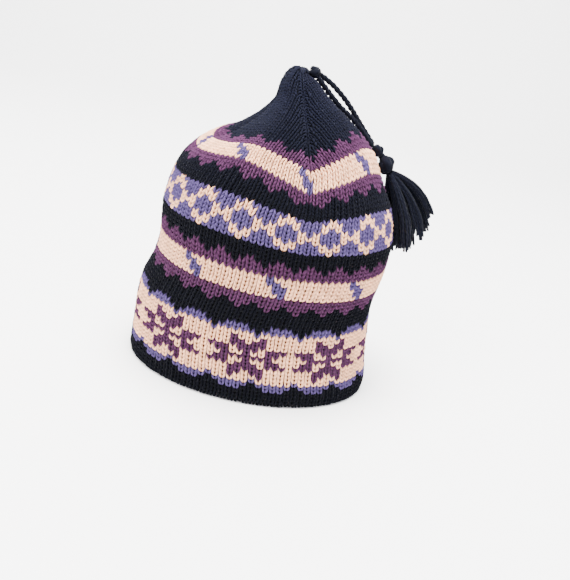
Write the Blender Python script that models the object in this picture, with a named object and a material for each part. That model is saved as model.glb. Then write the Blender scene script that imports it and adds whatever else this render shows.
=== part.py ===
"""Knitted winter hat: a colour-work hat with a crown of four mitred gores gathered into a tip.

Two twisted cords are sewn on at the tip. They run down the right side of the crown to a small
knot, a large knot and a tassel. Metres, +Z up, the front of the hat faces -Y, and the origin is
on the surface that the rim stands on, under the middle of the hat.
"""
import math

import bmesh
import bpy
import numpy as np
from mathutils import Vector

# The hat's own sizes
HAT_HEIGHT = 0.247
HALF_WIDTH = 0.0988
HALF_DEPTH = 0.079
WALL = 0.0035
MITRE_GROOVE = 0.0012
GATHER_DEPTH = 0.0010
# A crown row dips at its mitre lines. The power sharpens the dip, and the level keeps the row's mean
# height. The left and the back line, where the crown slumps, have only a share of the dip.
DIP_POWER = 1.6
DIP_LEVEL = 0.25
SLUMPED_DIP = 0.3

# The knitting: rows are counted up from the rim, and gores from one mitre line to the next
ROWS = 92
CROWN_START_ROW = 64
HOLLOW_TOP_ROW = 80
GATHER_START_ROW = 84
GORES = 4
GATHERS = 8
MITRE_TURN = math.radians(15.0)

# How finely the shell is faceted
COLUMNS_PER_GORE = 12
BODY_STEP = 4
CROWN_STEP = 2.5

# Cords, knots and tassel
GAP = 0.0003
CORD_DIAMETER = 0.0044
TIP_KNOT_RADIUS = 0.0042
SMALL_KNOT_RADIUS = 0.0045
LARGE_KNOT_RADIUS = 0.0062
KNOT_TURNS = 3
KNOT_TWIST = 2.5
KNOT_GROOVE = 0.10
TASSEL_HEAD_RADIUS = 0.0046
TASSEL_LENGTH = 0.066
TASSEL_LEAN = math.radians(16.3)
LOCK_RADIUS = 0.0042
LOCK_SPREAD = 0.6
LOCK_SIDES = 6
LOCK_RINGS = 7

# Sections of the hat. Lean, width and depth are shares of half the hat's width or depth. The two
# heights, at the left and right side, and the dip of the mitre lines are shares of its height.
# Squareness 2 is an ellipse, and more than 2 squares the section up towards the mitre lines.
SECTION_COLUMNS = ("row", "lean", "width", "depth", "left_height", "right_height", "dip", "squareness")
SECTIONS = (
    (0, 0.000, 1.000, 0.925, 0.000, 0.000, 0.000, 2.00),
    (2, 0.000, 1.000, 0.925, 0.026, 0.026, 0.000, 2.00),
    (8, -0.015, 0.980, 0.925, 0.105, 0.105, 0.000, 2.00),
    (16, -0.030, 0.960, 0.930, 0.210, 0.210, 0.000, 2.00),
    (20, -0.028, 0.942, 0.945, 0.263, 0.263, 0.000, 2.00),
    (27, 0.012, 0.906, 0.967, 0.354, 0.350, 0.000, 2.00),
    (33, 0.038, 0.911, 0.985, 0.430, 0.430, 0.000, 2.00),
    (40, 0.035, 0.919, 1.000, 0.526, 0.518, 0.008, 2.00),
    (45, 0.033, 0.891, 0.985, 0.587, 0.579, 0.020, 2.05),
    (50, 0.028, 0.841, 0.937, 0.648, 0.640, 0.032, 2.10),
    (54, 0.023, 0.775, 0.880, 0.692, 0.685, 0.052, 2.20),
    (58, 0.028, 0.694, 0.810, 0.729, 0.735, 0.061, 2.30),
    (62, 0.034, 0.612, 0.728, 0.755, 0.790, 0.057, 2.35),
    (66, 0.030, 0.495, 0.635, 0.775, 0.840, 0.049, 2.40),
    (71, 0.031, 0.360, 0.520, 0.814, 0.881, 0.041, 2.40),
    (76.5, 0.022, 0.242, 0.393, 0.858, 0.914, 0.032, 2.35),
    (82, 0.008, 0.160, 0.291, 0.902, 0.946, 0.024, 2.25),
    (87, -0.015, 0.120, 0.203, 0.950, 0.968, 0.012, 2.15),
    (90.5, -0.022, 0.073, 0.122, 0.984, 0.978, 0.004, 2.00),
    (92, -0.010, 0.036, 0.055, 0.998, 0.998, 0.000, 2.00),
)

# Where the cords' own pieces sit, as a row of knitting and an azimuth from the front. The tip knot
# stands a little further off, as the gathered tip is hollowed there.
TIP_KNOT_SEAT = (89, math.radians(85.0))
TIP_KNOT_STAND = 0.0008
SMALL_KNOT_SEAT = (62.8, math.radians(91.0))

# The cords' routes, from the tip knot to the small knot
CORD_ROUTES = {
    "cord_inner": (
        (0.0121, -0.0019, 0.2413),
        (0.0178, -0.0017, 0.2364),
        (0.0268, -0.0014, 0.2286),
        (0.0336, -0.0012, 0.2232),
        (0.0468, -0.0009, 0.2145),
        (0.0632, -0.0005, 0.1994),
    ),
    "cord_outer": (
        (0.0132, 0.0024, 0.2436),
        (0.0200, 0.0026, 0.2402),
        (0.0268, 0.0027, 0.2360),
        (0.0378, 0.0030, 0.2270),
        (0.0519, 0.0036, 0.2121),
        (0.0635, 0.0043, 0.2001),
    ),
}
ROUTE_STEP = 2.2 * CORD_DIAMETER

# Locks of the tassel. Out, down and side are where the lock ends, as shares of the tassel's
# length: away from the hat, down its side and along it. Swell bows the lock outwards on its way.
LOCK_COLUMNS = ("out", "down", "side", "swell", "thickness")
LOCKS = (
    (-0.02, 0.86, 0.00, 0.12, 1.00),
    (0.00, 0.91, -0.15, 0.12, 1.05),
    (0.00, 0.89, 0.18, 0.12, 1.05),
    (0.07, 0.93, 0.04, 0.13, 1.00),
    (0.12, 0.88, -0.26, 0.14, 1.05),
    (0.13, 0.85, 0.28, 0.14, 1.05),
    (0.17, 0.87, -0.09, 0.15, 1.10),
    (0.26, 0.79, 0.12, 0.16, 1.10),
    (0.31, 0.73, -0.20, 0.18, 1.00),
    (0.40, 0.69, 0.02, 0.19, 1.05),
    (0.42, 0.59, 0.20, 0.21, 1.00),
    (0.44, 0.48, -0.06, 0.24, 0.95),
)
# A lock's thickness at its root, its growth on the way and its taper to the tip
LOCK_ROOT, LOCK_GROWTH, LOCK_TAPER = 0.62, 0.90, 1.15

NAVY = (0.013, 0.016, 0.032, 1.0)


def clear_scene():
    for old in list(bpy.data.objects):
        bpy.data.objects.remove(old, do_unlink=True)


def material(name, colour, roughness):
    made = bpy.data.materials.new(name)
    made.use_nodes = True
    shader = made.node_tree.nodes["Principled BSDF"]
    shader.inputs["Base Color"].default_value = colour
    shader.inputs["Roughness"].default_value = roughness
    shader.inputs["Metallic"].default_value = 0.0
    return made


def add_object(name, mesh, collection, finish):
    mesh.materials.clear()
    mesh.materials.append(finish)
    made = bpy.data.objects.new(name, mesh)
    collection.objects.link(made)
    return made


def smooth_slopes(rows, values):
    """Slopes at the table's rows that keep the curve through them free of overshoot."""
    steps = np.diff(values) / np.diff(rows)
    slopes = np.zeros(len(rows))
    slopes[0], slopes[-1] = steps[0], steps[-1]
    for i in range(1, len(rows) - 1):
        before, after = steps[i - 1], steps[i]
        if before * after > 0:
            slopes[i] = 2 * before * after / (before + after)
    return slopes


def section_curves():
    table = np.array(SECTIONS, float)
    rows = table[:, 0]
    return {
        name: (rows, table[:, k], smooth_slopes(rows, table[:, k]))
        for k, name in enumerate(SECTION_COLUMNS)
        if name != "row"
    }


CURVES = section_curves()


def section_value(name, row):
    rows, values, slopes = CURVES[name]
    i = int(np.clip(np.searchsorted(rows, row, side="right") - 1, 0, len(rows) - 2))
    span = rows[i + 1] - rows[i]
    t = (row - rows[i]) / span
    return (
        values[i] * (1 + 2 * t) * (1 - t) ** 2
        + values[i + 1] * t * t * (3 - 2 * t)
        + span * slopes[i] * t * (1 - t) ** 2
        - span * slopes[i + 1] * t * t * (1 - t)
    )


def dip_share(turn):
    """How much of the dip there is at a turn from the front mitre line."""
    facing = min(1.0, max(0.0, math.cos(turn - math.pi / GORES) + 0.7))
    return SLUMPED_DIP + (1 - SLUMPED_DIP) * facing * facing * (3 - 2 * facing)


def shell_point(row, azimuth):
    """A point of the hat's outer face. Azimuth 0 is the front, and it grows towards the right."""
    squareness = section_value("squareness", row)
    turn = azimuth - MITRE_TURN
    half_gore = math.pi / GORES
    from_mitre = abs((turn + half_gore) % (2 * half_gore) - half_gore) / half_gore
    diagonal = turn + math.pi / 4
    reach = (abs(math.cos(diagonal)) ** squareness + abs(math.sin(diagonal)) ** squareness) ** (-1 / squareness)
    width = HALF_WIDTH * section_value("width", row)
    depth = HALF_DEPTH * section_value("depth", row)
    if row > GATHER_START_ROW:
        fold = GATHER_DEPTH * math.cos(GATHERS * turn) * (row - GATHER_START_ROW) / (ROWS - GATHER_START_ROW)
        width += fold
        depth += fold
    if row > CROWN_START_ROW and row < GATHER_START_ROW:
        groove = MITRE_GROOVE * max(0.0, 1 - from_mitre * COLUMNS_PER_GORE / 2)
        width -= groove
        depth -= groove
    left = section_value("left_height", row)
    right = section_value("right_height", row)
    dip = section_value("dip", row) * dip_share(turn) * ((1 - from_mitre) ** DIP_POWER - DIP_LEVEL)
    height = (left + right) / 2 + (right - left) / 2 * math.sin(azimuth) - dip
    return Vector((
        HALF_WIDTH * section_value("lean", row) + width * reach * math.sin(azimuth),
        -depth * reach * math.cos(azimuth),
        HAT_HEIGHT * height,
    ))


def shell_normal(row, azimuth):
    step_row, step_turn = 0.4, math.radians(3.0)
    low, high = max(row - step_row, 0.0), min(row + step_row, ROWS)
    up = shell_point(high, azimuth) - shell_point(low, azimuth)
    round_ = shell_point(row, azimuth + step_turn) - shell_point(row, azimuth - step_turn)
    return round_.cross(up).normalized()


def shell_rows():
    body = np.arange(0, CROWN_START_ROW, BODY_STEP).tolist()
    crown = np.arange(CROWN_START_ROW, ROWS, CROWN_STEP).tolist()
    return [0, 2] + body[1:] + crown + [ROWS]


def shell_azimuths():
    columns = GORES * COLUMNS_PER_GORE
    return [MITRE_TURN + 2 * math.pi * k / columns for k in range(columns)]


def inner_point(row, azimuth):
    """The inner face lies one wall's thickness inside the outer one, and meets the rim flat."""
    normal = shell_normal(row, azimuth)
    if row <= 2:
        normal = Vector((normal.x, normal.y, 0.0)).normalized()
    return shell_point(row, azimuth) - WALL * normal


def bridge(mesh, lower, upper):
    count = len(lower)
    for k in range(count):
        after = (k + 1) % count
        mesh.faces.new((lower[k], lower[after], upper[after], upper[k]))


def close_with_fan(mesh, ring, lift):
    middle = sum((v.co for v in ring), Vector()) / len(ring)
    peak = mesh.verts.new(middle + Vector((0, 0, lift)))
    for k, corner in enumerate(ring):
        mesh.faces.new((corner, ring[(k + 1) % len(ring)], peak))


def knit_shell(collection):
    """The whole knitted hat, one wall thick and open below, lofted through its rows."""
    mesh = bmesh.new()
    azimuths = shell_azimuths()
    rows = shell_rows()
    outer = [[mesh.verts.new(shell_point(row, a)) for a in azimuths] for row in rows]
    inner = [[mesh.verts.new(inner_point(row, a)) for a in azimuths] for row in rows if row <= HOLLOW_TOP_ROW]
    for lower, upper in zip(outer, outer[1:]):
        bridge(mesh, lower, upper)
    for lower, upper in zip(inner, inner[1:]):
        bridge(mesh, upper, lower)
    bridge(mesh, inner[0], outer[0])
    close_with_fan(mesh, outer[-1], HAT_HEIGHT - outer[-1][0].co.z)
    close_with_fan(mesh, inner[-1], WALL)
    bmesh.ops.recalc_face_normals(mesh, faces=mesh.faces)
    bmesh.ops.triangulate(mesh, faces=mesh.faces)
    data = bpy.data.meshes.new("knit_shell")
    mesh.to_mesh(data)
    mesh.free()
    data.shade_smooth()
    return add_object("knit_shell", data, collection, material("navy_knit", NAVY, 0.95))


def seat_on_shell(seat, radius):
    """Centre of a round piece that rests on the hat's outer face."""
    row, azimuth = seat
    return shell_point(row, azimuth) + (radius + GAP) * shell_normal(row, azimuth)


def side_frame(seat):
    """Directions at a seat on the hat's side: away from the hat, down its side and along it."""
    row, azimuth = seat
    out = shell_normal(row, azimuth)
    out.y = 0.0
    out.normalize()
    side = Vector((0, 1, 0))
    return out, side.cross(out).normalized(), side


def next_in_line(centre, radius, next_radius, out, down):
    """Centre of the next round piece of the string, which also rests against the hat's side."""
    reach = radius + next_radius + GAP
    step_out = next_radius - radius
    return centre + out * step_out + down * math.sqrt(reach * reach - step_out * step_out)


def knot(name, centre, radius, collection):
    """A tied knot: a ball with the grooves of the cord's turns."""
    mesh = bmesh.new()
    bmesh.ops.create_uvsphere(mesh, u_segments=14, v_segments=10, radius=radius)
    for vertex in mesh.verts:
        x, y, z = vertex.co / radius
        groove = 0.5 + 0.5 * math.cos(KNOT_TURNS * math.atan2(y, x) + KNOT_TWIST * z)
        vertex.co *= 1 - KNOT_GROOVE * groove * (1 - z * z)
    data = bpy.data.meshes.new(name)
    mesh.to_mesh(data)
    mesh.free()
    data.shade_smooth()
    made = add_object(name, data, collection, material("navy_" + name, NAVY, 0.9))
    made.location = centre
    return made


def smooth_route(points, step):
    """Points a step apart along a smooth curve through the route's own points."""
    points = [Vector(p) for p in points]
    ends = [2 * points[0] - points[1]] + points + [2 * points[-1] - points[-2]]
    fine = []
    for a, b, c, d in zip(ends, ends[1:], ends[2:], ends[3:]):
        for k in range(12):
            t = k / 12
            linear = 2 * b + t * (c - a)
            curved = t * t * (2 * a - 5 * b + 4 * c - d) + t ** 3 * (3 * b - a - 3 * c + d)
            fine.append((linear + curved) / 2)
    fine.append(points[-1])
    lengths = np.cumsum([0.0] + [(q - p).length for p, q in zip(fine, fine[1:])])
    count = max(4, round(lengths[-1] / step))
    return [
        Vector([float(np.interp(s, lengths, [p[axis] for p in fine])) for axis in range(3)])
        for s in np.linspace(0, lengths[-1], count + 1)
    ]


def cord(name, route, collection):
    """A twisted cord's outer form: a round tube along its route."""
    curve = bpy.data.curves.new(name, "CURVE")
    curve.dimensions = "3D"
    curve.bevel_depth = CORD_DIAMETER / 2
    curve.bevel_resolution = 2
    curve.use_fill_caps = True
    points = smooth_route(route, ROUTE_STEP)
    line = curve.splines.new("POLY")
    line.points.add(len(points) - 1)
    for slot, point in zip(line.points, points):
        slot.co = (*point, 1.0)
    line.use_smooth = True
    curve.materials.append(material("navy_" + name, NAVY, 0.9))
    made = bpy.data.objects.new(name, curve)
    collection.objects.link(made)
    return made


def lock_mesh(lock, out, down, side):
    """One lock of yarn: a tapering tube that leaves the tassel's head and bows outwards."""
    shares = dict(zip(LOCK_COLUMNS, lock))
    tip = TASSEL_LENGTH * (shares["out"] * out + shares["down"] * down + shares["side"] * side)
    start = tip.normalized() * TASSEL_HEAD_RADIUS / 3
    lift = side.cross(shares["out"] * out + shares["down"] * down).normalized()
    bow = TASSEL_LENGTH * (LOCK_SPREAD * shares["side"] * side - shares["swell"] * lift)
    mesh = bmesh.new()
    rings = []
    for i in range(LOCK_RINGS):
        t = i / (LOCK_RINGS - 1)
        centre = start.lerp(tip, t) + bow * 2 * t * (1 - t)
        slope = (tip - start + bow * 2 * (1 - 2 * t)).normalized()
        across = slope.cross(side).normalized()
        other = slope.cross(across)
        radius = LOCK_RADIUS * shares["thickness"] * (LOCK_ROOT + LOCK_GROWTH * t - LOCK_TAPER * t ** 3)
        rings.append([
            mesh.verts.new(centre + radius * (math.cos(a) * across + math.sin(a) * other))
            for a in (2 * math.pi * k / LOCK_SIDES for k in range(LOCK_SIDES))
        ])
    for lower, upper in zip(rings, rings[1:]):
        bridge(mesh, lower, upper)
    mesh.faces.new(rings[0])
    mesh.faces.new(rings[-1])
    bmesh.ops.recalc_face_normals(mesh, faces=mesh.faces)
    data = bpy.data.meshes.new("lock")
    mesh.to_mesh(data)
    mesh.free()
    return data


def tassel(centre, out, down, side, collection, cutters):
    """The tassel's outer form: locks of yarn joined to a round head by Boolean unions."""
    mesh = bmesh.new()
    bmesh.ops.create_uvsphere(mesh, u_segments=10, v_segments=7, radius=TASSEL_HEAD_RADIUS)
    data = bpy.data.meshes.new("tassel")
    mesh.to_mesh(data)
    mesh.free()
    made = add_object("tassel", data, collection, material("navy_tassel", NAVY, 0.95))
    made.location = centre
    for number, lock in enumerate(LOCKS):
        piece = add_object(f"lock_{number}", lock_mesh(lock, out, down, side), cutters, data.materials[0])
        piece.location = centre
        piece.hide_render = True
        piece.display_type = "WIRE"
        union = made.modifiers.new(f"lock_{number}", "BOOLEAN")
        union.operation = "UNION"
        union.solver = "EXACT"
        union.object = piece
    return made


def build():
    clear_scene()
    hat = bpy.data.collections.new("winter_hat")
    cutters = bpy.data.collections.new("winter_hat_locks")
    bpy.context.scene.collection.children.link(hat)
    bpy.context.scene.collection.children.link(cutters)
    knit_shell(hat)
    knot("tip_knot", seat_on_shell(TIP_KNOT_SEAT, TIP_KNOT_RADIUS + TIP_KNOT_STAND), TIP_KNOT_RADIUS, hat)
    for name, route in CORD_ROUTES.items():
        cord(name, route, hat)
    out, down, side = side_frame(SMALL_KNOT_SEAT)
    small = seat_on_shell(SMALL_KNOT_SEAT, SMALL_KNOT_RADIUS)
    large = next_in_line(small, SMALL_KNOT_RADIUS, LARGE_KNOT_RADIUS, out, down)
    head = next_in_line(large, LARGE_KNOT_RADIUS, TASSEL_HEAD_RADIUS, out, down)
    knot("knot_small", small, SMALL_KNOT_RADIUS, hat)
    knot("knot_large", large, LARGE_KNOT_RADIUS, hat)
    hang = Vector((math.sin(TASSEL_LEAN), 0, -math.cos(TASSEL_LEAN)))
    tassel(head, hang.cross(side), hang, side, hat, cutters)


build()
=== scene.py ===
import math

import bpy
import numpy as np
from mathutils import Matrix, Vector


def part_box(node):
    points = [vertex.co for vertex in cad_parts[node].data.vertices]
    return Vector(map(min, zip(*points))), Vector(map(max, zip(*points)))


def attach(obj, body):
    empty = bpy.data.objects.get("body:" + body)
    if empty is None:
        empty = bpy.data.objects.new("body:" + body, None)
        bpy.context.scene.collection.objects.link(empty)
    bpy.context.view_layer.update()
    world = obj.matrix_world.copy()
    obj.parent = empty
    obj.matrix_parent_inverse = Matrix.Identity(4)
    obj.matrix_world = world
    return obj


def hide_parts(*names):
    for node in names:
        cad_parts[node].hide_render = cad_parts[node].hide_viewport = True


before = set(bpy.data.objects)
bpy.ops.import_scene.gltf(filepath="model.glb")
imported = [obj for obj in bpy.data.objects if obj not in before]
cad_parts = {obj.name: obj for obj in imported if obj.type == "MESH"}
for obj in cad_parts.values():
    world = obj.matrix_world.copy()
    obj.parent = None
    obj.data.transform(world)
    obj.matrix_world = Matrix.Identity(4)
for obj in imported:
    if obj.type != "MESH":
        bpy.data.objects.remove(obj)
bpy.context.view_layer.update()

# Camera: stands in front of the hat, above the floor, and looks down at it. It is rolled, so the
# upright hat leans to the right in the picture as the photographed one does.
CAMERA_PLACE = (0.00325, -0.5998, 0.3147)
CAMERA_PITCH, CAMERA_YAW, CAMERA_ROLL = 0.3874, 0.0277, 0.2044
CAMERA_LENS, CAMERA_SENSOR = 48.93, 36.0
camera_data = bpy.data.cameras.new("camera")
camera_data.lens = CAMERA_LENS
camera_data.sensor_width = CAMERA_SENSOR
camera = bpy.data.objects.new("camera", camera_data)
bpy.context.scene.collection.objects.link(camera)
turned = Matrix.Rotation(-CAMERA_YAW, 4, "Z") @ Matrix.Rotation(math.pi / 2 - CAMERA_PITCH, 4, "X")
camera.matrix_world = Matrix.Translation(CAMERA_PLACE) @ turned @ Matrix.Rotation(CAMERA_ROLL, 4, "Z")
bpy.context.scene.camera = camera

# Cords: two cords, each twisted from two plies of the navy yarn. Both are sewn on at the tip and
# run down the right side of the crown to the small knot, one against the hat and one outside it.
CORD_ROUTES = {
    "cord_inner": (
        (0.0121, -0.0019, 0.2413),
        (0.0178, -0.0017, 0.2364),
        (0.0268, -0.0014, 0.2286),
        (0.0336, -0.0012, 0.2232),
        (0.0468, -0.0009, 0.2145),
        (0.0632, -0.0005, 0.1994),
    ),
    "cord_outer": (
        (0.0132, 0.0024, 0.2436),
        (0.0200, 0.0026, 0.2402),
        (0.0268, 0.0027, 0.2360),
        (0.0378, 0.0030, 0.2270),
        (0.0519, 0.0036, 0.2121),
        (0.0635, 0.0043, 0.2001),
    ),
}
CORD_DIAMETER = 0.0044
CORD_PLY_RADIUS = 0.00145
CORD_TWIST = 0.0085
CORD_PLIES, CORD_SIDES, CORD_SPANS = 2, 10, 90
NAVY = (0.0020, 0.0024, 0.0058)
WOOL = {"Roughness": 0.92, "Specular IOR Level": 0.07, "Sheen Roughness": 0.45}
# Tones of the yarn's colour. The ply tone paints the creases between the plies darker: painted shade.
BARE_TONE = 0.36
PLY_CREASE_SHADE, FIBRE_TONE, PATCH_TONE, FLUFF_TONE = 0.30, 0.40, 0.30, 0.18
PLY_RELIEF, FIBRE_RELIEF, FLUFF_RELIEF, RELIEF = 0.6, 0.5, 0.35, 0.8
FIBRES_ALONG_AND_ROUND = (500.0, 22.0, 1.0)
FLUFF_SCALE, PATCH_SCALE = 2600.0, 190.0


class Shade:
    """A socket of the material that is being made. Sums on it add Math nodes."""

    def __init__(self, tree, socket=None):
        self.tree, self.socket = tree, socket

    def node(self, kind, settings, inputs, output=0):
        made = self.tree.nodes.new(kind)
        for name, value in settings.items():
            setattr(made, name, value)
        for name, value in inputs.items():
            if isinstance(value, Shade):
                self.tree.links.new(value.socket, made.inputs[name])
            else:
                made.inputs[name].default_value = value
        return Shade(self.tree, made.outputs[output])

    def sum(self, operation, first, second=0.0):
        return self.node("ShaderNodeMath", {"operation": operation}, {0: first, 1: second})

    def __add__(self, other):
        return self.sum("ADD", self, other)

    def __mul__(self, other):
        return self.sum("MULTIPLY", self, other)

    __radd__, __rmul__ = __add__, __mul__

    def wave(self):
        """A level from 0 to 1 that rises and falls once for each whole step of this one."""
        return self.sum("SINE", self * (2 * math.pi)) * 0.5 + 0.5

    def tinted(self, level):
        """This colour made lighter or darker by a level."""
        grey = self.node("ShaderNodeCombineXYZ", {}, {0: level, 1: level, 2: level})
        return self.node("ShaderNodeVectorMath", {"operation": "MULTIPLY"}, {0: self, 1: grey})


def yarn_finish(name, plies, pitch, depth, sheen):
    """Wool yarn: matt, with soft twisted plies, loose fibres, and slightly uneven dyeing. Its colour is
    painted darker in the creases between the plies: painted shade. The pitch is the length of a ply's
    turn, and the depth is how far the plies stand out."""
    made = bpy.data.materials.new(name)
    made.use_nodes = True
    tree = made.node_tree
    base = Shade(tree)
    place = base.node("ShaderNodeTexCoord", {}, {}, "Object")
    dye = base.node("ShaderNodeAttribute", {"attribute_name": "dye"}, {}, "Color")
    around = base.node("ShaderNodeUVMap", {"uv_map": "yarn"}, {})
    along = base.node("ShaderNodeSeparateXYZ", {}, {0: around}, 0)
    turn = base.node("ShaderNodeSeparateXYZ", {}, {0: around}, 1)
    ply = (turn * plies + along * (1 / pitch)).wave()
    fibres = base.node(
        "ShaderNodeVectorMath", {"operation": "MULTIPLY"}, {0: around, 1: FIBRES_ALONG_AND_ROUND},
    )
    fibre = base.node("ShaderNodeTexNoise", {}, {"Vector": fibres, "Scale": 1.0, "Detail": 2.0})
    fluff = base.node("ShaderNodeTexNoise", {}, {"Vector": place, "Scale": FLUFF_SCALE, "Detail": 3.0})
    patch = base.node("ShaderNodeTexNoise", {}, {"Vector": place, "Scale": PATCH_SCALE, "Detail": 2.0})
    # The ply term paints the creases between the plies darker, as painted shade; the fibre, patch and fluff
    # terms are random tone.
    level = BARE_TONE + ply * PLY_CREASE_SHADE + fibre * FIBRE_TONE + patch * PATCH_TONE + fluff * FLUFF_TONE
    height = ply * PLY_RELIEF + fibre * FIBRE_RELIEF + fluff * FLUFF_RELIEF
    bump = base.node("ShaderNodeBump", {}, {"Strength": RELIEF, "Distance": depth, "Height": height})
    shader = tree.nodes["Principled BSDF"]
    for socket, value in WOOL.items():
        shader.inputs[socket].default_value = value
    shader.inputs["Sheen Weight"].default_value = sheen
    tree.links.new(dye.tinted(level).socket, shader.inputs["Base Color"])
    tree.links.new(bump.socket, shader.inputs["Normal"])
    return made


def strand_shape(sides, spans):
    """A strand to copy: a capped cylinder cut into spans. Gives each corner's ring and angle."""
    bpy.ops.object.select_all(action="DESELECT")
    bpy.ops.mesh.primitive_cylinder_add(vertices=sides, radius=1.0, depth=1.0, end_fill_type="NGON")
    piece = bpy.context.active_object
    bpy.ops.object.mode_set(mode="EDIT")
    bpy.ops.mesh.select_mode(type="EDGE")
    bpy.ops.mesh.select_all(action="DESELECT")
    bpy.ops.object.mode_set(mode="OBJECT")
    corners = piece.data.vertices
    for edge in piece.data.edges:
        first, second = edge.vertices
        edge.select = abs(corners[first].co.z - corners[second].co.z) > 0.5
    bpy.ops.object.mode_set(mode="EDIT")
    bpy.ops.mesh.subdivide(number_cuts=spans - 1)
    bpy.ops.object.mode_set(mode="OBJECT")
    places = np.array([v.co[:] for v in piece.data.vertices])
    faces = [list(face.vertices) for face in piece.data.polygons]
    mesh = piece.data
    bpy.data.objects.remove(piece)
    bpy.data.meshes.remove(mesh)
    ring = np.rint((places[:, 2] + 0.5) * spans).astype(int)
    return {"ring": ring, "angle": np.arctan2(places[:, 1], places[:, 0]), "faces": faces, "spans": spans}


def joined_copies(name, shape, places, lengths, dyes_and_painted_light, finish):
    """One mesh of every copy of a shape: places holds each copy's points, lengths how long its yarn
    is, and the last list its colour, which in the knitting carries the painted top light on the navy."""
    count, corners = places.shape[:2]
    faces = shape["faces"]
    loops = np.array([corner for face in faces for corner in face])
    starts = np.cumsum([0] + [len(face) for face in faces])[:-1]
    turn = (shape["angle"] / (2 * math.pi)) % 1.0
    turns = []
    for face in faces:
        around = turn[face]
        if len(face) == 4 and np.ptp(around) > 0.5:
            around = np.where(around < 0.5, around + 1.0, around)
        turns += list(around)
    mesh = bpy.data.meshes.new(name)
    mesh.vertices.add(count * corners)
    mesh.vertices.foreach_set("co", places.astype(np.float32).ravel())
    mesh.loops.add(count * len(loops))
    shift = np.arange(count)[:, None]
    mesh.loops.foreach_set("vertex_index", (loops + shift * corners).astype(np.int32).ravel())
    mesh.polygons.add(count * len(faces))
    mesh.polygons.foreach_set("loop_start", (starts + shift * len(loops)).astype(np.int32).ravel())
    mesh.polygons.foreach_set("use_smooth", np.ones(count * len(faces), bool))
    yarn = np.empty((count, len(loops), 2), np.float32)
    yarn[:, :, 0] = shape["ring"][loops] / shape["spans"] * np.reshape(lengths, (-1, 1))
    yarn[:, :, 1] = turns
    mesh.uv_layers.new(name="yarn").data.foreach_set("uv", yarn.ravel())
    dye = np.ones((count, corners, 4), np.float32)
    dye[:, :, :3] = np.reshape(dyes_and_painted_light, (count, 1, 3))
    mesh.attributes.new("dye", "FLOAT_COLOR", "POINT").data.foreach_set("color", dye.ravel())
    mesh.update()
    mesh.validate()
    mesh.materials.append(finish)
    made = bpy.data.objects.new(name, mesh)
    bpy.context.scene.collection.objects.link(made)
    return made


def unit(vectors):
    return vectors / np.maximum(np.linalg.norm(vectors, axis=-1, keepdims=True), 1e-12)


OFF_EVERY_PATH = (0.31, 0.87, 0.38)


def swept(shape, paths, radii):
    """The points of a strand that follows each path, one ring at each of the path's points."""
    along = unit(np.gradient(paths, axis=1))
    side = np.empty_like(along)
    side[:, 0] = unit(np.cross(along[:, 0], OFF_EVERY_PATH))
    for i in range(1, paths.shape[1]):
        carried = side[:, i - 1] - along[:, i] * np.sum(side[:, i - 1] * along[:, i], axis=-1, keepdims=True)
        side[:, i] = unit(carried)
    other = np.cross(along, side)
    ring, angle = shape["ring"], shape["angle"][None, :, None]
    spoke = np.cos(angle) * side[:, ring] + np.sin(angle) * other[:, ring]
    return paths[:, ring] + np.broadcast_to(radii, paths.shape[:2])[:, ring, None] * spoke


FINE_STEPS = 12


def smooth_route(points, spans):
    """Evenly spaced points on a smooth curve through a route's own points, and its length."""
    points = np.array(points)
    ends = np.concatenate([[2 * points[0] - points[1]], points, [2 * points[-1] - points[-2]]])
    fine = []
    t = np.linspace(0, 1, FINE_STEPS + 1)[:-1, None]
    for a, b, c, d in zip(ends, ends[1:], ends[2:], ends[3:]):
        curved = t * t * (2 * a - 5 * b + 4 * c - d) + t ** 3 * (3 * b - a - 3 * c + d)
        fine.append((2 * b + t * (c - a) + curved) / 2)
    fine = np.concatenate(fine + [points[-1:]])
    reach = np.concatenate([[0], np.cumsum(np.linalg.norm(np.diff(fine, axis=0), axis=1))])
    steps = np.linspace(0, reach[-1], spans + 1)
    return np.stack([np.interp(steps, reach, fine[:, axis]) for axis in range(3)], -1), reach[-1]


def plied(path, length, spread, twist, plies):
    """The paths of the plies that are twisted round a path."""
    along = unit(np.gradient(path, axis=0))
    side = unit(np.cross(along, (0.0, 1.0, 0.0)))
    other = np.cross(along, side)
    turn = np.linspace(0, 2 * math.pi * length / twist, len(path))
    turns = turn + 2 * math.pi * np.arange(plies)[:, None] / plies
    return path + spread * (np.cos(turns)[..., None] * side + np.sin(turns)[..., None] * other)


cord_wool = yarn_finish("cord_wool", plies=2, pitch=0.0045, depth=0.0004, sheen=0.02)
cord_shape = strand_shape(CORD_SIDES, CORD_SPANS)
for cord_name, route in CORD_ROUTES.items():
    path, length = smooth_route(route, CORD_SPANS)
    plies = plied(path, length, CORD_DIAMETER / 2 - CORD_PLY_RADIUS, CORD_TWIST, CORD_PLIES)
    places = swept(cord_shape, plies, CORD_PLY_RADIUS)
    dyes_and_painted_light = [NAVY] * CORD_PLIES
    cord = joined_copies(cord_name + "_twisted", cord_shape, places, length, dyes_and_painted_light, cord_wool)
    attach(cord, "root")
    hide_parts(cord_name)

# Knots: the knot at the tip that sews the cords on, and the small and the large knot that tie them
# together above the tassel. Each is the cord pulled tight round itself, so its turns stand proud.
KNOT_SPANS = 72
KNOT_DEPTH, KNOT_SECOND_TURN, KNOT_YARN = 1.9, 0.7, 7
STRING_TURN = math.radians(16.3)
STRING = np.array([math.sin(STRING_TURN), 0.0, -math.cos(STRING_TURN)])
knot_shape = strand_shape(CORD_SIDES, KNOT_SPANS)


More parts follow.
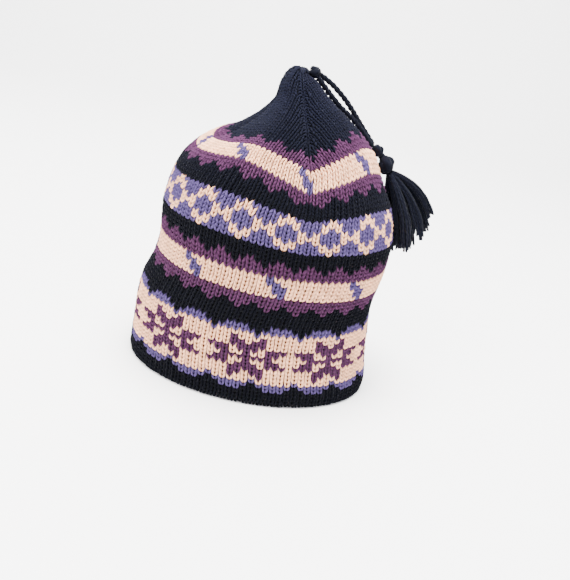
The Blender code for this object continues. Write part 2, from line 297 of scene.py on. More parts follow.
def tied_knot(name, node, growth, turn, strand, stretch=1.0, drop=0.0):
    """A tight overhand knot about as big as the node, drawn out a little along the string."""
    low, high = (np.array(corner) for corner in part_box(node))
    radius = growth * np.max(high - low) / 2
    t = np.linspace(0, 2 * math.pi, KNOT_SPANS + 1) + turn
    around = (2 + np.cos(3 * t)) * radius * (1 - strand) / 3
    path = np.stack([
        around * np.cos(2 * t),
        around * np.sin(2 * t),
        KNOT_DEPTH * np.sin(3 * t) * radius * (1 - strand) / 3,
    ], -1)
    spin = np.array(Matrix.Rotation(turn, 3, "X") @ Matrix.Rotation(KNOT_SECOND_TURN * turn, 3, "Y"))
    path = path @ spin.T
    path = path + (stretch - 1) * (path @ STRING)[:, None] * STRING + (low + high) / 2 + drop * STRING
    places = swept(knot_shape, path[None], radius * strand)
    made = joined_copies(name, knot_shape, places, KNOT_YARN * radius, [NAVY], cord_wool)
    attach(made, "root")
    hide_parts(node)
    return made


tied_knot("tip_knot_tied", "tip_knot", growth=1.15, turn=0.4, strand=0.50)
small_knot = tied_knot("small_knot_tied", "knot_small", growth=1.15, turn=1.1, strand=0.50)
large_knot = tied_knot(
    "large_knot_tied", "knot_large", growth=1.18, turn=2.0, strand=0.55, stretch=1.20, drop=0.0020,
)

NECK_SPANS = 12
NECK_SPREAD, NECK_PLY_RADIUS = 0.0010, 0.0018
NECK_TWIST, NECK_YARN = 0.011, 0.011
neck_shape = strand_shape(CORD_SIDES, NECK_SPANS)
ends = [np.mean(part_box(node), axis=0) for node in ("knot_small", "knot_large")]
neck_path = np.linspace(*ends, NECK_SPANS + 1)
neck_length = np.linalg.norm(ends[1] - ends[0])
neck_plies = plied(neck_path, neck_length, NECK_SPREAD, NECK_TWIST, CORD_PLIES)
neck_places = swept(neck_shape, neck_plies, NECK_PLY_RADIUS)
neck_dyes = [NAVY] * CORD_PLIES
neck = joined_copies("knot_neck", neck_shape, neck_places, NECK_YARN, neck_dyes, cord_wool)
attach(neck, "root")
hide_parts("knot_large")

# Tassel: cut ends of the same navy yarn, bound under the large knot. They fan out in loose locks
# away from the hat, and the longest ones hang down beside it. A lock's places are shares of the
# tassel's length.
CHANCE = np.random.default_rng(1924)
TASSEL_LENGTH = 0.066
LOCK_RADIUS = 0.0042
LOCK_SPREAD = 0.6
LOCK_COLUMNS = ("out", "down", "side", "swell", "thickness")
LOCKS = (
    (-0.02, 0.86, 0.00, 0.12, 1.00),
    (0.00, 0.91, -0.15, 0.12, 1.05),
    (0.00, 0.89, 0.18, 0.12, 1.05),
    (0.07, 0.93, 0.04, 0.13, 1.00),
    (0.12, 0.88, -0.26, 0.14, 1.05),
    (0.13, 0.85, 0.28, 0.14, 1.05),
    (0.17, 0.87, -0.09, 0.15, 1.10),
    (0.26, 0.79, 0.12, 0.16, 1.10),
    (0.31, 0.73, -0.20, 0.18, 1.00),
    (0.40, 0.69, 0.02, 0.15, 1.05),
    (0.42, 0.59, 0.20, 0.15, 1.00),
    (0.44, 0.48, -0.06, 0.17, 0.95),
    (0.03, 0.52, 0.04, -0.07, 0.70),
)
LOCK_ROOT, LOCK_GROWTH, LOCK_TAPER = 0.62, 0.90, 0.75
BUNCHED, FANNED, ROOT_SHARE = 0.45, 0.6, 0.35
STRANDS_PER_LOCK = 21
STRAND_RADIUS = 0.00092
STRAND_REACH, OUTER_REACH, OUTER_FROM = (0.84, 0.99), 0.2, 0.1
STRAND_SWAY, STRAND_WAVES = 0.0006, (1.2, 2.6)
STRAND_THICKNESS, STRAND_TAPER = (0.85, 1.15), 0.15
STRAND_DYE = (0.75, 1.35)
STRAND_SIDES, STRAND_SPANS = 5, 12
TASSEL_TOP = np.array([0.0820, 0.0020, 0.1799])
SIDE = np.array([0.0, 1.0, 0.0])
OUT = np.cross(STRING, SIDE)


def tassel_paths():
    """The path and the thickness of every strand: each keeps its own place across its lock."""
    t = np.linspace(0, 1, STRAND_SPANS + 1)
    root = np.mean(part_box("knot_large"), axis=0) - TASSEL_TOP
    paths, radii = [], []
    for lock in LOCKS:
        share = dict(zip(LOCK_COLUMNS, lock))
        chord = share["out"] * OUT + share["down"] * STRING
        tip = TASSEL_LENGTH * (chord + share["side"] * SIDE)
        lift = unit(np.cross(SIDE, chord))
        bow = TASSEL_LENGTH * (LOCK_SPREAD * share["side"] * SIDE - share["swell"] * lift)
        across = unit(np.cross(tip, SIDE))
        other = unit(np.cross(across, tip))
        for _ in range(STRANDS_PER_LOCK):
            longer = OUTER_REACH * max(share["out"] - OUTER_FROM, 0)
            reach = (t * (CHANCE.uniform(*STRAND_REACH) + longer))[:, None]
            middle = ROOT_SHARE * root * (1 - reach) + tip * reach + bow * 2 * reach * (1 - reach)
            width = LOCK_RADIUS * share["thickness"] * (LOCK_ROOT + LOCK_GROWTH * t - LOCK_TAPER * t ** 3)
            place = math.sqrt(CHANCE.uniform(0, 1))
            angle = CHANCE.uniform(0, 2 * math.pi)
            waves = t * CHANCE.uniform(*STRAND_WAVES) + CHANCE.uniform(0, 1)
            sway = STRAND_SWAY * np.sin(2 * math.pi * waves) * t
            offset = place * width * (BUNCHED + FANNED * t)
            spoke = math.cos(angle) * across + math.sin(angle) * other
            wobble = CHANCE.normal(0, 1, 3)
            paths.append(TASSEL_TOP + middle + offset[:, None] * spoke + sway[:, None] * wobble)
            thickness = CHANCE.uniform(*STRAND_THICKNESS)
            radii.append(STRAND_RADIUS * thickness * (1 - STRAND_TAPER * t ** 6))
    return np.array(paths), np.array(radii)


strand_form = strand_shape(STRAND_SIDES, STRAND_SPANS)
paths, radii = tassel_paths()
places = swept(strand_form, paths, radii)
shades = np.array(NAVY) * CHANCE.uniform(*STRAND_DYE, (len(paths), 1))
tassel = joined_copies("tassel_strands", strand_form, places, TASSEL_LENGTH, shades, cord_wool)
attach(tassel, "root")
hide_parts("tassel")

# Knitted hat: stranded colour-work in four yarns, 96 stitches round, knitted upwards from a folded
# navy hem. Every stitch is two plump legs of wool that lean apart, and the rows nest. The table
# of sections holds shares of the hat's half width, half depth and height.
shell_low, shell_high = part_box("knit_shell")
HALF_WIDTH = (shell_high[0] - shell_low[0]) / 2
HALF_DEPTH = (shell_high[1] - shell_low[1]) / 2
HAT_HEIGHT = shell_high[2] - shell_low[2]
WALL = 0.0035
MITRE_TURN = math.radians(15.0)
GORES, GATHERS, GATHER_DEPTH = 4, 8, 0.0010
ROWS, CROWN_START_ROW, GATHER_START_ROW = 92, 64, 84
MITRE_GROOVE, GROOVE_STEEPNESS = 0.0012, 6
DIP_POWER, DIP_LEVEL, SLUMPED_DIP, SLUMP_EDGE = 1.6, 0.25, 0.3, 0.7
SECTION_COLUMNS = ("row", "lean", "width", "depth", "left_height", "right_height", "dip", "squareness")
SECTIONS = np.array((
    (0, 0.000, 1.000, 0.925, 0.000, 0.000, 0.000, 2.00),
    (2, 0.000, 1.000, 0.925, 0.026, 0.026, 0.000, 2.00),
    (8, -0.015, 0.980, 0.925, 0.105, 0.105, 0.000, 2.00),
    (16, -0.030, 0.960, 0.930, 0.210, 0.210, 0.000, 2.00),
    (20, -0.028, 0.942, 0.945, 0.263, 0.263, 0.000, 2.00),
    (27, 0.012, 0.906, 0.967, 0.354, 0.350, 0.000, 2.00),
    (33, 0.038, 0.911, 0.985, 0.430, 0.430, 0.000, 2.00),
    (40, 0.035, 0.919, 1.000, 0.526, 0.518, 0.008, 2.00),
    (45, 0.033, 0.891, 0.985, 0.587, 0.579, 0.020, 2.05),
    (50, 0.028, 0.841, 0.937, 0.648, 0.640, 0.032, 2.10),
    (54, 0.023, 0.775, 0.880, 0.692, 0.685, 0.052, 2.20),
    (58, 0.028, 0.694, 0.810, 0.729, 0.735, 0.061, 2.30),
    (62, 0.034, 0.612, 0.728, 0.755, 0.790, 0.057, 2.35),
    (66, 0.030, 0.495, 0.635, 0.775, 0.840, 0.049, 2.40),
    (71, 0.031, 0.360, 0.520, 0.814, 0.881, 0.041, 2.40),
    (76.5, 0.022, 0.242, 0.393, 0.858, 0.914, 0.032, 2.35),
    (82, 0.008, 0.160, 0.291, 0.902, 0.946, 0.024, 2.25),
    (87, -0.015, 0.120, 0.203, 0.950, 0.968, 0.012, 2.15),
    (90.5, -0.022, 0.073, 0.122, 0.984, 0.978, 0.004, 2.00),
    (92, -0.010, 0.036, 0.055, 0.998, 0.998, 0.000, 2.00),
))


def section_value(name, row):
    """A column of the section table at any row, on a curve through its rows with no overshoot."""
    rows, values = SECTIONS[:, 0], SECTIONS[:, SECTION_COLUMNS.index(name)]
    steps = np.diff(values) / np.diff(rows)
    before, after = steps[:-1], steps[1:]
    both = before * after
    inner = np.where(both > 0, 2 * both / np.where(both > 0, before + after, 1.0), 0.0)
    slopes = np.concatenate([steps[:1], inner, steps[-1:]])
    i = np.clip(np.searchsorted(rows, row, side="right") - 1, 0, len(rows) - 2)
    span = rows[i + 1] - rows[i]
    t = (row - rows[i]) / span
    level = values[i] * (1 + 2 * t) * (1 - t) ** 2 + values[i + 1] * t * t * (3 - 2 * t)
    return level + span * (slopes[i] * t * (1 - t) ** 2 - slopes[i + 1] * t * t * (1 - t))


def face_point(row, azimuth):
    """A point of the hat's outer face. Azimuth 0 is the front, and it grows towards the right."""
    squareness = section_value("squareness", row)
    turn = azimuth - MITRE_TURN
    half_gore = math.pi / GORES
    from_mitre = np.abs((turn + half_gore) % (2 * half_gore) - half_gore) / half_gore
    diagonal = turn + math.pi / 4
    corner = np.abs(np.cos(diagonal)) ** squareness + np.abs(np.sin(diagonal)) ** squareness
    reach = corner ** (-1 / squareness)
    gather = np.clip((row - GATHER_START_ROW) / (ROWS - GATHER_START_ROW), 0, None)
    crown = (row > CROWN_START_ROW) & (row < GATHER_START_ROW)
    groove = np.where(crown, MITRE_GROOVE * np.clip(1 - from_mitre * GROOVE_STEEPNESS, 0, None), 0.0)
    fold = GATHER_DEPTH * np.cos(GATHERS * turn) * gather - groove
    width = HALF_WIDTH * section_value("width", row) + fold
    depth = HALF_DEPTH * section_value("depth", row) + fold
    left, right = section_value("left_height", row), section_value("right_height", row)
    facing = np.clip(np.cos(turn - half_gore) + SLUMP_EDGE, 0, 1)
    slumped = SLUMPED_DIP + (1 - SLUMPED_DIP) * facing * facing * (3 - 2 * facing)
    dip = section_value("dip", row) * slumped * ((1 - from_mitre) ** DIP_POWER - DIP_LEVEL)
    return np.stack([
        HALF_WIDTH * section_value("lean", row) + width * reach * np.sin(azimuth),
        -depth * reach * np.cos(azimuth),
        HAT_HEIGHT * ((left + right) / 2 + (right - left) / 2 * np.sin(azimuth) - dip),
    ], -1)


SLOPE_ROWS, SLOPE_TURN = 0.4, 0.04


def face_frame(row, azimuth):
    """Point and outward normal of the face."""
    low, high = np.clip(row - SLOPE_ROWS, 0, ROWS), np.clip(row + SLOPE_ROWS, 0, ROWS)
    up = face_point(high, azimuth) - face_point(low, azimuth)
    across = face_point(row, azimuth + SLOPE_TURN) - face_point(row, azimuth - SLOPE_TURN)
    return face_point(row, azimuth), unit(np.cross(across, up))


ROW_SHARE = 0.0131
ROW_HEIGHT = HAT_HEIGHT * ROW_SHARE
FOLD_ROW = 0.97
FOLD_RADIUS = WALL / 2


def cloth_frame(row, azimuth):
    """Point and normal of the knitting: below the fold it turns under and runs up inside the face."""
    outer, normal = face_frame(np.maximum(row, FOLD_ROW), azimuth)
    below = np.clip(FOLD_ROW - row, 0, None) * ROW_HEIGHT
    turn = np.minimum(below / FOLD_RADIUS, math.pi)
    inside = np.clip(below - math.pi * FOLD_RADIUS, 0, None)
    inner_row = FOLD_ROW + inside / ROW_HEIGHT
    face, outward = face_frame(inner_row, azimuth)
    level = unit(normal * (1, 1, 0))
    flat = unit(outward * (1, 1, 0))
    up = np.array([0.0, 0.0, 1.0])
    cos, sin = np.cos(turn)[..., None], np.sin(turn)[..., None]
    folded = outer - level * FOLD_RADIUS * (1 - cos) - up * FOLD_RADIUS * sin
    lined = face - flat * 2 * FOLD_RADIUS
    is_fold, is_lining = (row < FOLD_ROW)[..., None], (inside > 0)[..., None]
    point = np.where(is_lining, lined, np.where(is_fold, folded, outer))
    facing = np.where(is_lining, -flat, np.where(is_fold, level * cos - up * sin, normal))
    return point, facing


# The wales: upright columns of stitches. Below the crown they stand evenly round the hat. In the
# crown each gore's wales keep their width beside its middle, and end at the mitre lines.
STITCHES = 96
GORE_STITCHES = STITCHES // GORES
FRONT_SHIFT = 0.0019
FIRST_MITRE_WALE = 3
CROWN_STITCH = 0.0042
EVEN_BELOW_ROW, GORES_ABOVE_ROW = 45, 55
TABLE_START_ROW, TABLE_STEP, TURN_STEPS = -9, 0.5, 720
TABLE_ROWS = np.arange(TABLE_START_ROW, ROWS + 0.01, TABLE_STEP)
TABLE_TURNS = np.linspace(-math.pi, math.pi, TURN_STEPS + 1)
MITRE_LINES = np.arange(-2, 3)


def wale_tables():
    """For each table row: its azimuths at even arc steps, each anchor's arc and stitch width, and
    each gore's arc, as shares of the way round. Anchors 0 to 3 are the mitre lines, and 4 to 7 the
    middles of the gores on their right."""
    azimuths, anchors, widths, gores = [], [], [], []
    for row in TABLE_ROWS:
        ring = face_point(np.full(TABLE_TURNS.shape, max(row, 0.0)), TABLE_TURNS)
        arc = np.concatenate([[0], np.cumsum(np.linalg.norm(np.diff(ring, axis=0), axis=1))])
        around = arc[-1]
        azimuths.append(np.interp(np.linspace(0, around, TURN_STEPS + 1), arc, TABLE_TURNS))
        front = np.interp(0, TABLE_TURNS, arc)
        step = around / STITCHES
        even = front + FRONT_SHIFT + (FIRST_MITRE_WALE + GORE_STITCHES * MITRE_LINES) * step
        lines = MITRE_TURN + math.pi / 2 * MITRE_LINES
        laps = np.floor((lines + math.pi) / (2 * math.pi))
        mitred = np.interp(lines - laps * 2 * math.pi, TABLE_TURNS, arc) + laps * around
        blend = np.clip((row - EVEN_BELOW_ROW) / (GORES_ABOVE_ROW - EVEN_BELOW_ROW), 0, 1)
        blend = blend * blend * (3 - 2 * blend)
        mitres = even + (mitred - even) * blend
        gore = np.diff(mitres)
        stitch = gore / GORE_STITCHES
        if row > GORES_ABOVE_ROW:
            stitch = np.maximum(stitch, CROWN_STITCH)
        middles = (mitres[:-1] + mitres[1:]) / 2
        anchors.append(np.concatenate([mitres[:-1], middles]) / around)
        widths.append(np.concatenate([np.minimum(stitch, np.roll(stitch, 1)), stitch]) / around)
        gores.append(gore / around)
    return (np.array(table) for table in (azimuths, anchors, widths, gores))


AZIMUTHS, ANCHORS, WIDTHS, GORE_ARCS = wale_tables()


def table_at(table, row, column):
    """A table's value between two of its rows, for columns given as whole numbers."""
    i = np.clip((row - TABLE_START_ROW) / TABLE_STEP, 0, len(TABLE_ROWS) - 1.001)
    low = i.astype(int)
    return table[low, column] * (1 - i + low) + table[low + 1, column] * (i - low)


MITRE_MARGIN = 0.3


def cloth_at(row, anchor, offset):
    """Point and normal at a row, and an offset in stitches from an anchor. A gore's stitches stop
    short of its mitre lines."""
    width = table_at(WIDTHS, row, anchor)
    shift = offset * width
    gore = table_at(GORE_ARCS, row, np.clip(anchor - GORES, 0, GORES - 1))
    bound = np.maximum(gore / 2 - MITRE_MARGIN * width, 0)
    shift = np.where(anchor >= GORES, np.clip(shift, -bound, bound), shift)
    share = (table_at(ANCHORS, row, anchor) + shift) % 1.0
    step = share * TURN_STEPS
    left = np.clip(step.astype(int), 0, TURN_STEPS - 1)
    first, second = table_at(AZIMUTHS, row, left), table_at(AZIMUTHS, row, left + 1)
    return cloth_frame(row, first + (second - first) * (step - left))


# The chart: a star band, a striped band, a diamond band, a second striped band, and the plain navy
# crown. Rows count upwards, and wales to the right from the star in the middle of the front.
YARNS = {
    "navy": (0.0012, 0.0014, 0.0034),
    "purple": (0.051, 0.0165, 0.045),
    "lavender": (0.063, 0.044, 0.122),
    "cream": (0.740, 0.405, 0.245),
}
# From row 46 to row 80 the navy is painted up to 3.3 times lighter: painted top light on the crown, which
# faces the light from above.
TOP_LIGHT_GAIN, TOP_LIGHT_START_ROW, TOP_LIGHT_END_ROW = 2.3, 46, 80
STAR_ROWS, LOWER_STRIPE_ROWS, DIAMOND_ROWS = range(4, 21), range(25, 38), range(41, 50)
UPPER_STRIPE_ROWS, LAST_TEETH_ROWS = range(54, 63), range(63, 67)
STAR_MIDDLE_ROW, STAR_REPEAT, CHECK_REPEAT = 12, 12, 6
STAR_WALES = {
    5: (2,),
    4: (1, 2),
    3: (0, 1, 2),
    2: (0, 1, 3, 4, 5),
    1: (0, 3, 4),
    0: (0, 1, 2, 3),
}
DIAMOND_REPEAT = 6
DIAMOND_CREAM_ROWS = {0: (1, 2, 8, 9), 1: (2, 3, 7, 8), 2: (4, 5, 6), 3: (5,), 4: (4, 5, 6), 5: (2, 3, 7, 8)}
TOOTH_REPEAT, TOOTH_ROWS, MARK_REPEAT = 4, 4, 12
MARK_WALES = ((1,), (0, 1), (0, 1), (-1, 0), (-1,))
STRIPES = (
    {"teeth_down": 25, "cream": 29, "teeth_up": 34, "mark_wale": 1},
    {"teeth_down": 54, "cream": 58, "teeth_up": 63, "mark_wale": 2},
)


def wales_off(wale, repeat):
    """How many wales a wale stands off the middle of the nearest repeat."""
    return (wale + repeat // 2) % repeat - repeat // 2


def star_band_yarn(row, wale):
    from_middle = abs(row - STAR_MIDDLE_ROW)
    if from_middle in STAR_WALES:
        across = abs(wales_off(wale, STAR_REPEAT))
        return "purple" if across in STAR_WALES[from_middle] else "cream"
    place = wale % CHECK_REPEAT
    if from_middle == 6:
        return "lavender" if place == 1 else "cream"
    if from_middle == 7:
        return "navy" if place == 1 else "lavender"
    return "lavender" if place in (3, 4, 5) else "navy"


def stripe_yarn(row, wale, stripe, tooth_phase):
    tooth = (wale - tooth_phase) % TOOTH_REPEAT
    if row < stripe["cream"]:
        height = row - stripe["teeth_down"]
    elif row >= stripe["teeth_up"]:
        height = stripe["teeth_up"] + TOOTH_ROWS - 1 - row
    else:
        mark = wales_off(wale - stripe["mark_wale"], MARK_REPEAT)
        return "lavender" if mark in MARK_WALES[row - stripe["cream"]] else "cream"
    if height >= 2 or tooth == 0 or (height == 1 and tooth != 2):
        return "purple"
    return "navy"


def yarn_at(row, wale, live_wale):
    """The yarn of a stitch. live_wale counts from the gore's middle, where the crown narrows."""
    if row in STAR_ROWS:
        return star_band_yarn(row, wale)
    if row in LOWER_STRIPE_ROWS:
        return stripe_yarn(row, wale, STRIPES[0], 1)
    if row in DIAMOND_ROWS:
        rows_up = row - DIAMOND_ROWS.start + 1
        return "cream" if rows_up in DIAMOND_CREAM_ROWS[(wale - 1) % DIAMOND_REPEAT] else "lavender"
    if row in UPPER_STRIPE_ROWS:
        return stripe_yarn(row, wale, STRIPES[1], 1)
    if row in LAST_TEETH_ROWS:
        return stripe_yarn(row, live_wale, STRIPES[1], 0)
    return "navy"


def dyed_and_top_lit(yarn, row):
    """The colour of a yarn. The navy is darkest in the bands and painted lighter towards the tip: painted
    top light on the crown.
    """
    top_lit = 0
    if yarn == "navy":
        top_lit = np.clip((row - TOP_LIGHT_START_ROW) / (TOP_LIGHT_END_ROW - TOP_LIGHT_START_ROW), 0, 1)
    return np.array(YARNS[yarn]) * (1 + TOP_LIGHT_GAIN * top_lit)


# The stitches. A leg starts under the row below, swells, and leans out to the edge of its wale,
# where its narrow end tucks under the row above.
LEG_SIDES, LEG_SPANS, LEG_ROLL = 5, 4, math.radians(18)
STITCH_WIDTH = 0.0055
LEG_LENGTH, LEG_WIDTH, LEG_DEPTH = 0.0058, 0.00093, 0.00120
LEG_START, LEG_RISE = -0.74, 1.72
LEG_ROOT, LEG_LEAN = 0.10, 0.36
LEG_FULLNESS = np.array([0.55, 0.98, 1.06, 0.80, 0.16])
LEG_LIFT = np.array([-0.00045, 0.00040, 0.00055, 0.00010, -0.00070])
LEG_LEAST_DEPTH, LEG_SINK = 0.25, 0.35
MITRE_LIVE_WALE = 3
UNEVEN_DYE, UNEVEN_SWELL, UNEVEN_TALLNESS = 0.07, 0.05, 0.03
UNEVEN_ACROSS, UNEVEN_UP, UNEVEN_OUT = 0.018, 0.035, 0.00009


def leg_form(shape):
    """One leg's corners: across in stitches, up in rows, and out in metres."""
    t = np.linspace(0, 1, LEG_SPANS + 1)
    lean = LEG_ROOT + LEG_LEAN * t
    rise = LEG_START + LEG_RISE * t
    run = unit(np.stack([np.gradient(lean) * STITCH_WIDTH, np.gradient(rise) * ROW_HEIGHT], -1))
    ring, angle = shape["ring"], shape["angle"]
    fullness = LEG_FULLNESS[ring]
    sideways = LEG_WIDTH * fullness * np.cos(angle)
    outwards = LEG_DEPTH * (LEG_LEAST_DEPTH + (1 - LEG_LEAST_DEPTH) * fullness) * np.sin(angle)
    across = lean[ring] + sideways * run[ring, 1] / STITCH_WIDTH
    up = rise[ring] - sideways * run[ring, 0] / ROW_HEIGHT
    return across, up, LEG_LIFT[ring] + outwards


leg_shape = strand_shape(LEG_SIDES, LEG_SPANS)
# A leg is rolled round its own length, so neither a corner nor a flat side of it faces straight out.
leg_shape["angle"] = leg_shape["angle"] + LEG_ROLL
leg_across, leg_up, leg_out = leg_form(leg_shape)


def row_stitches(row):
    """Every stitch of a row: its anchor, offset, width and yarn. The outermost of a gore are cut to
    the width that is left."""
    stitches = []
    line = int((row - TABLE_START_ROW) / TABLE_STEP)
    for gore in range(GORES):
        live = GORE_ARCS[line, gore] / WIDTHS[line, GORES + gore]
        half = (live - 1) / 2
        last = int(half + 1e-6)
        mitre_wale = FIRST_MITRE_WALE + GORE_STITCHES * MITRE_LINES[gore]
        stitches.append((gore, 0.0, 1.0, yarn_at(row, mitre_wale, MITRE_LIVE_WALE)))
        middle_wale = mitre_wale + GORE_STITCHES // 2
        for k in range(-last, last + 1):
            width = 1.0 if abs(k) < last else half - last + 0.5
            offset = k if abs(k) < last else math.copysign(last - 0.5 + width / 2, k)
            if last == 0:
                width, offset = 2 * half, 0.0
            stitches.append((GORES + gore, offset, width, yarn_at(row, middle_wale + k, k)))
    return stitches


def knitted_band(name, first_row, last_row, finish):
    """All stitches from one row to another, as one mesh."""
    rows, anchors, offsets, widths, dyes_and_painted_light = [], [], [], [], []
    for row in range(first_row, last_row + 1):
        for anchor, offset, width, yarn in row_stitches(row):
            rows.append(row)
            anchors.append(anchor)
            offsets.append(offset)
            widths.append(width)
            # These colours carry the painted top light on the navy.
            dyes_and_painted_light.append(dyed_and_top_lit(yarn, row))
    count = len(rows)
    rows, anchors = np.array(rows, float), np.array(anchors)
    offsets, widths = np.array(offsets), np.array(widths)
    dyes_and_painted_light = np.array(dyes_and_painted_light) * CHANCE.normal(1.0, UNEVEN_DYE, (count, 1))
    loose = CHANCE.normal(0, 1, (4, count, 1))
    corners = len(leg_across)
    legs = []
    for hand in (-1, 1):
        plump = 1 + UNEVEN_SWELL * CHANCE.normal(0, 1, (count, 1))
        across = hand * (leg_across * plump) * widths[:, None] + offsets[:, None] + UNEVEN_ACROSS * loose[0]
        up = leg_up * (1 + UNEVEN_TALLNESS * loose[1]) + rows[:, None] + 0.5 + UNEVEN_UP * loose[2]
        out_by = leg_out * plump + UNEVEN_OUT * loose[3]
        anchor = np.broadcast_to(anchors[:, None], (count, corners))
        point, normal = cloth_at(np.clip(up, None, ROWS), anchor, across)
        legs.append(point + normal * (out_by - LEG_DEPTH * LEG_SINK)[..., None])
    flipped = dict(leg_shape, faces=[face[::-1] for face in leg_shape["faces"]])
    left = joined_copies(name, flipped, legs[0], LEG_LENGTH, dyes_and_painted_light, finish)
    right = joined_copies(name + "_right", leg_shape, legs[1], LEG_LENGTH, dyes_and_painted_light, finish)
    bpy.ops.object.select_all(action="DESELECT")
    left.select_set(True)
    right.select_set(True)
    bpy.context.view_layer.objects.active = left
    bpy.ops.object.join()
    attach(left, "root")
    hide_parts("knit_shell")


knit_wool = yarn_finish("knit_wool", plies=2, pitch=0.0032, depth=0.00025, sheen=0.015)
BANDS = (
    ("hem_stitches", -6, 3),
    ("star_band_stitches", 4, 20),
    ("lower_stripe_stitches", 21, 37),
    ("diamond_band_stitches", 38, 49),
    ("upper_stripe_stitches", 50, 66),
    ("crown_stitches", 67, 91),
)
for band in BANDS:
    knitted_band(*band, knit_wool)

# Closing of the tip: the end of the navy yarn is drawn through the last stitches, which gathers
# them, and is wound flat in the ring that they leave. It falls a little towards its outer turn.
CLOSING_SIDES, CLOSING_SPANS, CLOSING_TURNS, CLOSING_REACH = 8, 60, 3, 0.0040
CLOSING_START, CLOSING_FALL, CLOSING_YARN = 0.12, 0.3, 0.04
YARN_RADIUS = 0.0009
closing_shape = strand_shape(CLOSING_SIDES, CLOSING_SPANS)
wound = np.linspace(CLOSING_START, 1, CLOSING_SPANS + 1)
turn = 2 * math.pi * CLOSING_TURNS * wound
spiral = np.stack([np.cos(turn), np.sin(turn), -CLOSING_FALL * wound], -1)
last_ring = face_point(np.full(GATHERS, ROWS), 2 * math.pi * np.arange(GATHERS) / GATHERS)
closing_path = spiral * CLOSING_REACH * wound[:, None] + np.mean(last_ring, axis=0)
closing_path = closing_path - (0.0, 0.0, YARN_RADIUS)
closing_places = swept(closing_shape, closing_path[None], YARN_RADIUS)
# The closing has the navy's lightest colour: painted top light.
closing_colour_with_top_light = [dyed_and_top_lit("navy", ROWS)]
closing = joined_copies(
    "tip_closing", closing_shape, closing_places, CLOSING_YARN, closing_colour_with_top_light, knit_wool,
)
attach(closing, "root")
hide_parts("knit_shell")

# Inside of the hat: behind the stitches' legs lie their loops and the carried yarns, which close
# the knitting. They are painted dark, as painted shade in the gaps between the legs. Inside, each
# row is a line of small bumps in the yarns of the row.
BACKING_DEPTH, BACKING_PAINTED_SHADE = 0.0018, 0.08
LINING_DEPTH, BUMP_HEIGHT = 0.0031, 0.00035
RIM_ROW, CEILING_ROW, CROWN_CHART_ROW = 0.75, 84, 60
BACKING_START_ROW, BACKING_END_ROW, TOP_TONE = 2.0, ROWS - 0.3, 0.5
BACKING_ROW_STEP, LINING_ROW_STEP = 1.5, 0.5
BODY_STEPS = 288
YARN_ROUND, YARN_PER_RING = 0.54, 0.5


def lining(finish):
    """The closed body of the knitting, from just behind the legs to the inside face. Its rings run
    from the top down outside, and from the rim up to the ceiling inside."""
    around = BODY_STEPS
    turns = np.linspace(-math.pi, math.pi, around + 1)[:-1]
    backing_rows = np.arange(BACKING_START_ROW, BACKING_END_ROW, BACKING_ROW_STEP)
    outer = []
    for row in (RIM_ROW, *backing_rows, BACKING_END_ROW):
        point, normal = face_frame(np.full(around, row), turns)
        # Painted shade: the backing, seen in the gaps between the legs, is painted dark.
        outer.append((point - normal * BACKING_DEPTH, row, BACKING_PAINTED_SHADE))
    inner = []
    for row in np.arange(RIM_ROW, CEILING_ROW, LINING_ROW_STEP):
        point, normal = face_frame(np.full(around, row), turns)
        bumps = BUMP_HEIGHT * np.cos(math.pi * 2 * row) * (0.6 + 0.4 * np.cos(turns * STITCHES))
        inner.append((point - normal * (LINING_DEPTH + bumps)[:, None], row, 1.0))
    top = np.tile(np.mean(outer[-1][0], axis=0), (around, 1))
    ceiling = np.tile(np.mean(inner[-1][0], axis=0), (around, 1))
    rings = [(top, ROWS, TOP_TONE), *outer[::-1], *inner, (ceiling, CEILING_ROW, 1.0)]
    places = np.concatenate([ring[0] for ring in rings])
    faces = []
    for i in range(len(rings) - 1):
        low = i * around + np.arange(around)
        after = i * around + (np.arange(around) + 1) % around
        faces.append(np.stack([low, after, after + around, low + around], -1))
    faces = np.concatenate(faces)
    mesh = bpy.data.meshes.new("knit_body")
    mesh.from_pydata(places.tolist(), [], faces.tolist())
    colours = []
    # Each ring's level scales its colour: the backing rings are painted dark, as painted shade in the gaps
    # between the legs. The navy also carries its painted top light.
    for _, row, level in rings:
        for turn in turns:
            wale = int(round(turn / (2 * math.pi) * STITCHES)) if row < CROWN_CHART_ROW else 0
            colours.append([*(level * dyed_and_top_lit(yarn_at(int(row), wale, 0), row)), 1.0])
    dye = mesh.attributes.new("dye", "FLOAT_COLOR", "POINT")
    dye.data.foreach_set("color", np.array(colours, np.float32).ravel())
    corner = np.empty(len(mesh.loops), np.int32)
    mesh.loops.foreach_get("vertex_index", corner)
    yarn = np.stack([(corner % around) / around * YARN_ROUND, (corner // around) * YARN_PER_RING], -1)
    mesh.uv_layers.new(name="yarn").data.foreach_set("uv", yarn.astype(np.float32).ravel())
    mesh.polygons.foreach_set("use_smooth", np.ones(len(mesh.polygons), bool))
    mesh.materials.append(finish)
    made = bpy.data.objects.new("knit_body", mesh)
    bpy.context.scene.collection.objects.link(made)
    bpy.ops.object.select_all(action="DESELECT")
    made.select_set(True)
    bpy.context.view_layer.objects.active = made
    bpy.ops.object.mode_set(mode="EDIT")
    bpy.ops.mesh.select_all(action="SELECT")
    bpy.ops.mesh.remove_doubles(threshold=0.00001)
    bpy.ops.mesh.normals_make_consistent(inside=False)
    bpy.ops.object.mode_set(mode="OBJECT")
    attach(made, "root")
    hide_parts("knit_shell")


lining(knit_wool)

# Stage: a pale seamless sweep that runs up behind the hat, a broad soft light overhead, a soft
# window light from the upper left, a weaker one from the right, and an even pale surround.
SWEEP_FRONT, SWEEP_BACK = -2.5, 1.1
SWEEP_RADIUS, SWEEP_HEIGHT, SWEEP_WIDTH, SWEEP_STEPS = 0.5, 2.4, 6.0, 12
FLOOR_COLOUR, FLOOR_ROUGHNESS = (0.92, 0.915, 0.905, 1.0), 0.7
SURROUND_COLOUR, SURROUND_STRENGTH = (0.93, 0.94, 1.0, 1.0), 1.45


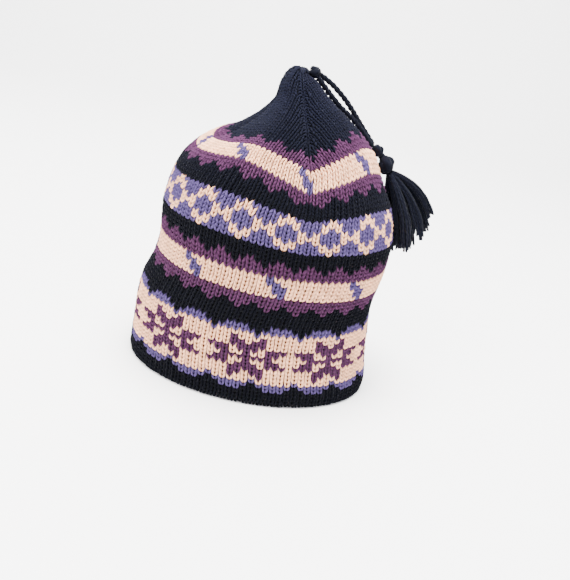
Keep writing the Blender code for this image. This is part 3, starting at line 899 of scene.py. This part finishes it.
def sweep():
    profile = [(SWEEP_FRONT, 0.0), (SWEEP_BACK, 0.0)]
    for k in range(1, SWEEP_STEPS + 1):
        turn = math.pi / 2 * k / SWEEP_STEPS
        profile.append((SWEEP_BACK + SWEEP_RADIUS * math.sin(turn), SWEEP_RADIUS * (1 - math.cos(turn))))
    profile.append((SWEEP_BACK + SWEEP_RADIUS, SWEEP_HEIGHT))
    corners = [(x, y, z) for y, z in profile for x in (-SWEEP_WIDTH / 2, SWEEP_WIDTH / 2)]
    faces = [(2 * k, 2 * k + 1, 2 * k + 3, 2 * k + 2) for k in range(len(profile) - 1)]
    mesh = bpy.data.meshes.new("floor")
    mesh.from_pydata(corners, [], faces)
    mesh.shade_smooth()
    paint = bpy.data.materials.new("pale_floor")
    paint.use_nodes = True
    shader = paint.node_tree.nodes["Principled BSDF"]
    shader.inputs["Base Color"].default_value = FLOOR_COLOUR
    shader.inputs["Roughness"].default_value = FLOOR_ROUGHNESS
    mesh.materials.append(paint)
    made = bpy.data.objects.new("floor", mesh)
    bpy.context.scene.collection.objects.link(made)
    return made


sweep()


def soft_light(name, place, target, size, power, colour):
    """A round soft lamp that faces its target."""
    data = bpy.data.lights.new(name, "AREA")
    data.shape = "DISK"
    data.size = size
    data.energy = power
    data.color = colour
    made = bpy.data.objects.new(name, data)
    bpy.context.scene.collection.objects.link(made)
    aim = Vector(target) - Vector(place)
    made.matrix_world = Matrix.Translation(place) @ aim.to_track_quat("-Z", "Y").to_matrix().to_4x4()


soft_light(
    "window_left", place=(-1.0, -1.1, 1.5), target=(0.0, 0.0, 0.12), size=1.2, power=62,
    colour=(1.0, 0.985, 0.96),
)
soft_light(
    "fill_right", place=(1.3, -0.7, 0.9), target=(0.0, 0.0, 0.12), size=1.2, power=8,
    colour=(0.95, 0.97, 1.0),
)
soft_light(
    "overhead", place=(0.0, -0.1, 1.9), target=(0.0, 0.0, 0.1), size=1.4, power=220,
    colour=(1.0, 1.0, 1.0),
)
world = bpy.data.worlds.new("surround")
world.use_nodes = True
surround = world.node_tree.nodes["Background"].inputs
surround["Color"].default_value = SURROUND_COLOUR
surround["Strength"].default_value = SURROUND_STRENGTH
bpy.context.scene.world = world
